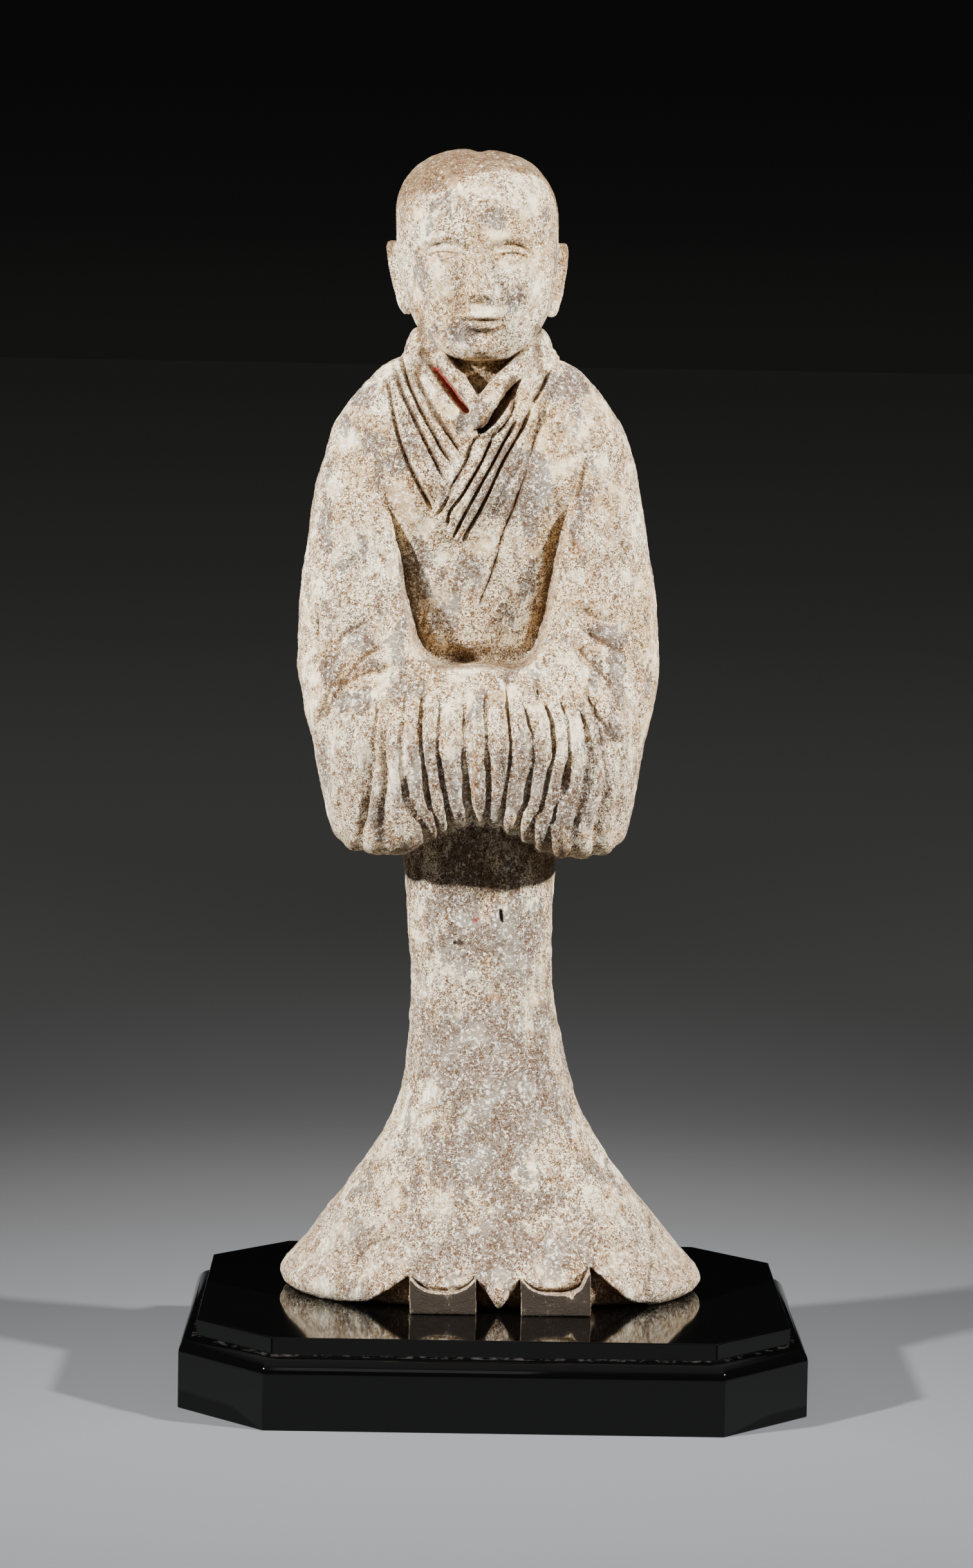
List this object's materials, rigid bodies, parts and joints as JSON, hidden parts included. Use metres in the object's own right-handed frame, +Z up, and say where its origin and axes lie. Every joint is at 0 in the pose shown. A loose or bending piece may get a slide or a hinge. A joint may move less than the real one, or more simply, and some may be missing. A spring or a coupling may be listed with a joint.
{
  "type": "standing pottery figure",
  "caption": "Standing robed attendant in slipped grey pottery, hands joined inside pleated sleeves over a flared skirt, resting on a black octagonal display stand.",
  "frame": {"origin": "centre of the stand's underside", "axes": "+Z up, the figure faces -Y, +X towards the figure's left hand"},
  "size_m": [0.302, 0.241, 0.6037],
  "materials": {
    "slipped_pottery": "matt, worn white slip over grey clay with earth in the grooves",
    "black_lacquer": "mirror gloss black lacquer"
  },
  "bodies": {
    "root": {"figure": "slipped_pottery", "stand": "black_lacquer"}
  },
  "joints": []
}
